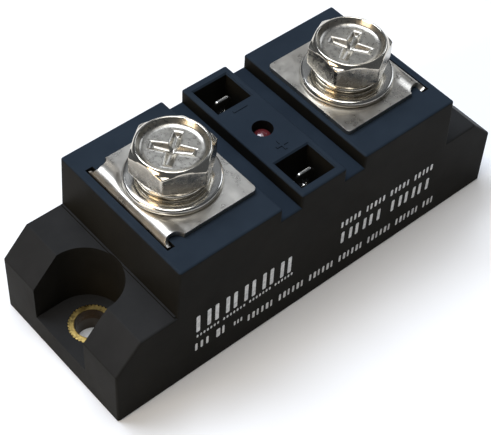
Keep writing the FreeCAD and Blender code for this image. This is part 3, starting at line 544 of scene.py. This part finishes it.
def make_bolt(side):
    low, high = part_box(side + "_bolt")
    angles = np.linspace(0, FULL_TURN, BOLT_COLUMNS, endpoint=False)
    rows = bolt_rows(angles)
    points, faces = turned_skin([row[:2] for row in rows], angles, DISH_FLOOR - CROSS_CENTRE_DEPTH,
                                -SHANK_LENGTH, (low.x + high.x) / 2, high.z - HEAD_HEIGHT * MM,
                                math.radians(BOLT_TURN[side]))
    looks = [DISH, *(row[2] for row in rows[:-1]), STEEL]
    marks = np.concatenate([np.broadcast_to(look, BOLT_COLUMNS) for look in looks])
    return new_piece(side + "_terminal_screw", points, faces, SCREW_LOOKS, side + "_terminal_bolt",
                     side + "_bolt", marks=marks.tolist())


# ---------------------------------------------------------------- washers

WASHER_BORE = 4.2
FLAT_WASHER_COLUMNS = 192
SPRING_WASHER_COLUMNS = 170
SPRING_CORNER = 0.34
SPLIT_TURN = {"left": 60.0, "right": 20.0}
SPLIT_WIDTH = 0.9
SPLIT_MEAN_RADIUS = 5.4
SPLIT_LEAN = 0.8


def washer_size(node):
    """A washer's axis and underside in metres, and its outer radius and thickness."""
    low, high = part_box(node)
    return (low.x + high.x) / 2, low.z, (high.x - low.x) / 2 / MM, (high.z - low.z) / MM


def make_flat_washer(side):
    """A plain washer with a rolled upper edge and a smaller lower one."""
    axis_x, base_z, outer, thick = washer_size(side + "_flat_washer")
    inner = WASHER_BORE
    section = rounded([(inner, 0.0), (outer - 0.34, 0.0), (outer, 0.28), (outer, thick - 0.66),
                       (outer - 0.2, thick - 0.15), (outer - 0.7, thick), (inner + 0.2, thick),
                       (inner, thick - 0.15)], closed=True)
    angles = np.linspace(0, FULL_TURN, FLAT_WASHER_COLUMNS, endpoint=False)
    points, faces = ring_skin(section, angles, axis_x, base_z)
    return new_piece(side + "_plain_washer", points, faces, ("washer_steel",), side + "_washers",
                     side + "_flat_washer")


def make_spring_washer(side):
    """A split washer with rounded corners; the cut leans."""
    axis_x, base_z, outer, thick = washer_size(side + "_spring_washer")
    inner, soft = WASHER_BORE, SPRING_CORNER
    section = rounded([(inner, soft), (inner + soft, 0.0), (outer - soft, 0.0), (outer, soft),
                       (outer, thick - soft), (outer - soft, thick), (inner + soft, thick),
                       (inner, thick - soft)], closed=True)
    half = SPLIT_WIDTH / 2 / SPLIT_MEAN_RADIUS
    start = math.radians(SPLIT_TURN[side])
    angles = np.linspace(start + half, start + FULL_TURN - half, SPRING_WASHER_COLUMNS)
    points, faces = ring_skin(section, angles, axis_x, base_z, SPLIT_LEAN, thick / 2, closed=False)
    return new_piece(side + "_lock_washer", points, faces, ("spring_steel",), side + "_washers",
                     side + "_spring_washer")


# ---------------------------------------------------------------- sheet-metal parts

CUT_TOLERANCE = 1e-5
# Cuts that pass close to a corner leave slivers that the eased edges can't follow, so points
# nearer than this are joined while the sheet is flat.
SLIVER = 0.09
EASED_EDGE_SEGMENTS = 3
EASED_EDGE_ANGLE = 50


def flat_sheet(outline, hole, cuts):
    """A filled outline with a hole, cut along lines of constant x (axis 0) or y (axis 1)."""
    build = bmesh.new()
    edges = []
    for loop in (outline, hole):
        corners = [build.verts.new((x, y, 0.0)) for x, y in loop]
        edges += [build.edges.new(pair) for pair in zip(corners, corners[1:] + corners[:1])]
    bmesh.ops.triangle_fill(build, edges=edges, use_beauty=True, use_dissolve=False,
                            normal=(0, 0, 1))
    for axis, places in cuts:
        normal = Vector((0, 0, 0))
        normal[axis] = 1
        for place in places:
            everything = build.verts[:] + build.edges[:] + build.faces[:]
            bmesh.ops.bisect_plane(build, geom=everything, plane_co=normal * place,
                                   plane_no=normal, dist=CUT_TOLERANCE)
    bmesh.ops.remove_doubles(build, verts=build.verts[:], dist=SLIVER)
    bmesh.ops.dissolve_degenerate(build, edges=build.edges[:], dist=SLIVER / 4)
    return build


def sheet_piece(name, build, shape, thick, soft, look, node):
    """A flat sheet bent by a shape function, given its thickness and eased edges."""
    for vertex in build.verts:
        vertex.co = Vector(shape(vertex.co.x, vertex.co.y))
    build.normal_update()
    build.verts.index_update()
    points = [tuple(vertex.co) for vertex in build.verts]
    faces = [tuple(vertex.index for vertex in face.verts) for face in build.faces]
    build.free()
    piece = new_piece(name, points, faces, (look,), "relay", node, sharp=None)
    solid = piece.modifiers.new("thickness", "SOLIDIFY")
    solid.thickness = thick * MM
    solid.offset = -1.0
    solid.use_even_offset = True
    bevel = piece.modifiers.new("eased_edges", "BEVEL")
    bevel.width = soft * MM
    bevel.segments = EASED_EDGE_SEGMENTS
    bevel.limit_method = "ANGLE"
    bevel.angle_limit = math.radians(EASED_EDGE_ANGLE)
    weighted = piece.modifiers.new("shading", "WEIGHTED_NORMAL")
    weighted.keep_sharp = True
    return piece


BOLT_AXIS = 21.0
STRIP_THICK = 1.0
STRIP_END = -10.0
STRIP_HALF = 11.2
STRIP_CORNER = 0.9
STRIP_HOLE = 4.6
STRIP_EASED_EDGE = 0.16
STRIP_CUTS = np.linspace(-9.6, 9.6, 25)
SEAT_RADIUS = 9.15
SEAT_BLEND = 0.9
HUMP_START = 5.8
HUMP_CREST = 7.9
HUMP_RISE = 0.32
HUMP_STEPS = 10
BEND_RADIUS = 2.3
BEND_OFFSET = 0.1
LEG_HALF = 11.1
LEG_NARROW_HALF = 6.0
LEG_NARROW_FROM = 10.5
NOTCH_PLACE = 0.55
NOTCH_REACH = 2.15
NOTCH_DEPTH = 1.35
FOOT_HEIGHT = 4.1
FOOT_BEND = 2.2
FOOT_END = 2.0


def strip_path(case_top):
    """The strip's upper surface as (outward, up) from the bolt's axis, from inner end to foot."""
    path = [(STRIP_END, STRIP_THICK), (HUMP_START, STRIP_THICK)]
    for step in np.linspace(1 / HUMP_STEPS, 1.0, HUMP_STEPS):
        path.append((HUMP_START + (HUMP_CREST - HUMP_START) * step,
                     STRIP_THICK + HUMP_RISE * smooth_step(step)))
    bend_at = HUMP_CREST + BEND_OFFSET
    path += arc(bend_at, STRIP_THICK + HUMP_RISE - BEND_RADIUS, BEND_RADIUS, 86, 0, 15)
    foot = FOOT_HEIGHT - case_top
    path += arc(bend_at + BEND_RADIUS - FOOT_BEND, foot + FOOT_BEND, FOOT_BEND, 0, -90, 9)
    path.append((FOOT_END, foot))
    return [np.array(point) for point in path]


def place_on(path, lengths, distance):
    """The point of a polyline at a distance along it."""
    index = int(np.clip(np.searchsorted(lengths, distance) - 1, 0, len(path) - 2))
    share = (distance - lengths[index]) / (lengths[index + 1] - lengths[index])
    return path[index] + (path[index + 1] - path[index]) * share


def strip_outline(total, crest_at):
    """The strip laid flat: distance along it and across it, with relief notches by the bend."""
    side = arc(STRIP_CORNER, STRIP_HALF - STRIP_CORNER, STRIP_CORNER, 180, 90, 7)
    for degrees in np.linspace(-180, 0, 25):
        angle = math.radians(degrees)
        edge = STRIP_HALF if degrees <= -90 else LEG_HALF
        side.append((crest_at + NOTCH_PLACE + NOTCH_REACH * math.cos(angle),
                     edge + NOTCH_DEPTH * math.sin(angle)))
    narrow = crest_at + LEG_NARROW_FROM
    side += [(narrow, LEG_HALF), (narrow, LEG_NARROW_HALF), (total, LEG_NARROW_HALF)]
    return side + [(along, -across) for along, across in reversed(side)]


def make_terminal(side):
    """A flat strip under the washers with a low hump, rolled over and down to a foot."""
    case_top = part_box(side + "_flat_washer")[0].z / MM - STRIP_THICK
    path = strip_path(case_top)
    steps = [np.linalg.norm(end - start) for start, end in zip(path, path[1:])]
    lengths = np.concatenate(([0.0], np.cumsum(steps)))
    crest_at = float(lengths[HUMP_STEPS + 1])

    def shape(along, across):
        out, up = place_on(path, lengths, along)
        if up > STRIP_THICK and out < HUMP_CREST + BEND_RADIUS:
            # The hump keeps clear of the round seat that the flat washer sits on.
            beyond_seat = (math.hypot(out, across) - SEAT_RADIUS) / SEAT_BLEND
            up = STRIP_THICK + (up - STRIP_THICK) * smooth_step(min(1.0, max(0.0, beyond_seat)))
        return ((BOLT_AXIS + out) * SIDES[side] * MM, across * SIDES[side] * MM,
                (case_top + up) * MM)

    hole = circle(-STRIP_END, 0.0, STRIP_HOLE, 64)
    build = flat_sheet(strip_outline(lengths[-1], crest_at), hole,
                       [(0, lengths[1:-1]), (1, STRIP_CUTS)])
    return sheet_piece(side + "_load_strip", build, shape, STRIP_THICK, STRIP_EASED_EDGE,
                       "terminal_nickel", side + "_terminal")


TAB_PIN_HALF = 1.0
TAB_SHOULDER = 19.0
TAB_HALF = 2.4
TAB_TIP_HALF = 1.4
TAB_TIP_LENGTH = 1.2
TAB_HOLE = 0.6
TAB_HOLE_BELOW_TOP = 3.4
TAB_EASED_EDGE = 0.3


def make_input_tab(name, node, facing):
    """A push-on blade: tapered tip, latch hole, shoulders and a pin down to the board."""
    low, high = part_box(node)
    top, foot = high.z / MM, low.z / MM
    half = [(TAB_PIN_HALF, foot), (TAB_PIN_HALF, TAB_SHOULDER), (TAB_HALF, TAB_SHOULDER),
            (TAB_HALF, top - TAB_TIP_LENGTH), (TAB_TIP_HALF, top)]
    outline = half + [(-along, up) for along, up in reversed(half)]
    face = low.y if facing < 0 else high.y

    def shape(along, up):
        return (along * MM * -facing, face, up * MM)

    build = flat_sheet(outline, circle(0.0, top - TAB_HOLE_BELOW_TOP, TAB_HOLE, 24), [])
    return sheet_piece(name, build, shape, (high.y - low.y) / MM, TAB_EASED_EDGE, "tab_tin", node)


# ---------------------------------------------------------------- printed marks

# Each row of ticks: its start, base, end and how far the base falls on the way, the ticks' height,
# their widths and gaps in turn, and after how many ticks there is a wider gap (0 for never).
TICK_ROWS = (
    (-29.2, 11.7, -6.0, 0.4, 4.6, (0.85,), (1.7, 0.95), 0),
    (-29.1, 10.0, -5.6, 0.0, 0.75, (0.42,), (0.38,), 7),
    (-29.4, 6.2, -26.2, 0.0, 2.1, (0.55,), (0.75,), 0),
    (-24.4, 6.0, -21.4, 0.0, 2.4, (0.9, 0.5), (0.5,), 0),
    (-20.2, 6.0, -18.2, 0.0, 1.2, (0.4,), (0.4,), 0),
    (-16.8, 4.5, 33.0, 1.5, 1.9, (0.5, 0.62, 0.44), (0.62, 0.5, 0.7), 6),
    (5.9, 14.4, 31.2, 0.3, 1.7, (0.5, 0.6, 0.45), (0.62, 0.55), 5),
    (6.3, 9.6, 32.0, 0.9, 3.2, (0.75,), (1.35, 0.9), 6),
)
WIDE_GAP = 1.6
TICK_CORNER = 0.18
INK_PROUD = 0.015
INK_SUNK = 0.02
INK_SHARP_ANGLE = 30.0


def tick_row(start, base, end, fall, height, strokes, gaps, word):
    """The low and high corners of a row's upright ticks."""
    ticks = []
    place, index = start, 0
    while place + strokes[index % len(strokes)] <= end:
        width = strokes[index % len(strokes)]
        low = base - fall * (place - start) / (end - start)
        ticks.append((place, low, place + width, low + height))
        place += width + gaps[index % len(gaps)]
        index += 1
        if word and index % word == 0:
            place += gaps[0] * WIDE_GAP
    return ticks


def tick_outline(low_x, low_z, high_x, high_z):
    """An upright rectangle with its corners cut off."""
    ease = min(TICK_CORNER, (high_x - low_x) / 3)
    return [(low_x + ease, low_z), (high_x - ease, low_z), (high_x, low_z + ease),
            (high_x, high_z - ease), (high_x - ease, high_z), (low_x + ease, high_z),
            (low_x, high_z - ease), (low_x, low_z + ease)]


def make_print():
    """Rows of plain ticks in ink on the front, where a maker would print; they aren't lettering."""
    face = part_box("case")[0].y
    points, faces = [], []
    for row in TICK_ROWS:
        for tick in tick_row(*row):
            outline = tick_outline(*tick)
            here, count = len(points), len(outline)
            points += [(x * MM, face - INK_PROUD * MM, z * MM) for x, z in outline]
            points += [(x * MM, face + INK_SUNK * MM, z * MM) for x, z in outline]
            faces.append(tuple(range(here, here + count)))
            faces.append(tuple(reversed(range(here + count, here + 2 * count))))
            faces += band(here, here + count, count)
    return new_piece("front_print", points, faces, ("print_ink",), "relay", sharp=INK_SHARP_ANGLE)


# ---------------------------------------------------------------- status lamp

DOME_HEIGHT = 1.5
BARREL_RING = 0.5
LAMP_COLUMNS = 64


def make_lamp():
    """A small lens: a short barrel closed by a dome."""
    low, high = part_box("status_lamp")
    radius, bottom, top = (high.x - low.x) / 2 / MM, low.z / MM, high.z / MM
    shoulder = top - DOME_HEIGHT
    profile = [(radius * 0.5, bottom), (radius, bottom), (radius, bottom + BARREL_RING)]
    for angle in np.radians(np.linspace(0, 84, 16)):
        profile.append((radius * math.cos(angle), shoulder + DOME_HEIGHT * math.sin(angle)))
    angles = np.linspace(0, FULL_TURN, LAMP_COLUMNS, endpoint=False)
    points, faces = turned_skin(profile, angles, bottom, top)
    # The profile runs upwards, so its faces are turned to look outwards.
    faces = [tuple(reversed(face)) for face in faces]
    return new_piece("lamp_lens_dome", points, faces, ("lamp_lens",), "relay", "status_lamp")


# ---------------------------------------------------------------- stage, light and camera

WHITE, WARM, COOL = (1.0, 1.0, 1.0), (1.0, 0.80, 0.55), (0.86, 0.93, 1.05)
LAMP_DISTANCE = 0.9
LAMP_AIM = Vector((0, 0, 0.02))
# Each lamp is a square panel: its azimuth from +X and its elevation in degrees, its side, power
# and colour.
LAMPS = (
    ("key_behind", 115, 62, 0.45, 5.2, COOL),
    ("sky_above", 75, 72, 0.45, 1.8, COOL),
    ("overhead", 226, 86, 0.40, 1.8, WHITE),
    ("corner_glint", 220, 72, 0.28, 0.8, WHITE),
    ("warm_left", 180, 22, 0.40, 3.4, WARM),
    ("cool_right", 0, 30, 0.40, 1.0, COOL),
    ("sheen_behind", 46, 49, 0.50, 0.12, COOL),
    ("low_behind", 46, 24, 0.35, 0.5, WHITE),
)
WORLD_STRENGTH = 0.09
FLOOR_HALF = 4.0
FLOOR_GAP = 0.00002


def soft_light(name, azimuth, elevation, side, power, colour):
    data = bpy.data.lights.new(name, "AREA")
    data.shape = "SQUARE"
    data.size = side
    data.energy = power
    data.color = colour
    azimuth, elevation = math.radians(azimuth), math.radians(elevation)
    level = math.cos(elevation) * LAMP_DISTANCE
    light = bpy.data.objects.new(name, data)
    light.location = (math.cos(azimuth) * level, math.sin(azimuth) * level,
                      math.sin(elevation) * LAMP_DISTANCE)
    light.rotation_euler = (LAMP_AIM - light.location).to_track_quat("-Z", "Y").to_euler()
    bpy.context.scene.collection.objects.link(light)


def make_floor():
    """A plain pale floor, just below the object's underside."""
    mesh = bpy.data.meshes.new("floor")
    corners = [(x * FLOOR_HALF, y * FLOOR_HALF, 0)
               for x, y in ((-1, -1), (1, -1), (1, 1), (-1, 1))]
    mesh.from_pydata(corners, [], [(0, 1, 2, 3)])
    floor = bpy.data.objects.new("floor", mesh)
    floor.location.z = -FLOOR_GAP
    bpy.context.scene.collection.objects.link(floor)
    n = Nodes("floor_paper")
    tone = n.ramp(n.noise(3.0, 3.0), (0.90, 0.90, 0.90), (0.94, 0.94, 0.935))
    mesh.materials.append(n.finished(tone, Roughness=0.95, Specular_IOR_Level=0.1))


def make_world():
    world = bpy.data.worlds.new("studio")
    world.use_nodes = True
    background = world.node_tree.nodes["Background"]
    background.inputs["Color"].default_value = (*COOL, 1.0)
    background.inputs["Strength"].default_value = WORLD_STRENGTH
    bpy.context.scene.world = world


# Angles in degrees; the azimuth is measured from -Y, and the distance from the target in metres.
CAMERA_AZIMUTH = -44.04
CAMERA_ELEVATION = 48.79
CAMERA_ROLL = 4.10
CAMERA_DISTANCE = 0.3077
CAMERA_TARGET = (0.01537, 0.01520, -0.01249)
CAMERA_LENS = 104.41
CAMERA_SHIFT = (-0.0301, -0.0399)
CAMERA_CLIP_START = 0.01


def make_camera():
    azimuth, elevation, roll = map(math.radians, (CAMERA_AZIMUTH, CAMERA_ELEVATION, CAMERA_ROLL))
    back = Vector((math.sin(azimuth) * math.cos(elevation),
                   -math.cos(azimuth) * math.cos(elevation), math.sin(elevation)))
    level = (-back).cross(Vector((0, 0, 1))).normalized()
    above = level.cross(-back)
    right = level * math.cos(roll) + above * math.sin(roll)
    up = above * math.cos(roll) - level * math.sin(roll)
    data = bpy.data.cameras.new("camera")
    data.lens = CAMERA_LENS
    data.shift_x, data.shift_y = CAMERA_SHIFT
    data.clip_start = CAMERA_CLIP_START
    camera = bpy.data.objects.new("camera", data)
    place = Matrix.Translation(Vector(CAMERA_TARGET) + back * CAMERA_DISTANCE)
    camera.matrix_world = place @ Matrix((right, up, back)).transposed().to_4x4()
    bpy.context.scene.collection.objects.link(camera)
    bpy.context.scene.camera = camera


# ---------------------------------------------------------------- the scene

dress_cad_nodes()
for name in SIDES:
    make_bolt(name)
    make_flat_washer(name)
    make_spring_washer(name)
    make_terminal(name)
make_input_tab("front_control_tab", "front_input_tab", -1)
make_input_tab("back_control_tab", "back_input_tab", 1)
make_lamp()
make_print()

make_floor()
make_world()
for lamp in LAMPS:
    soft_light(*lamp)
make_camera()
bpy.context.scene.view_settings.view_transform = "Standard"
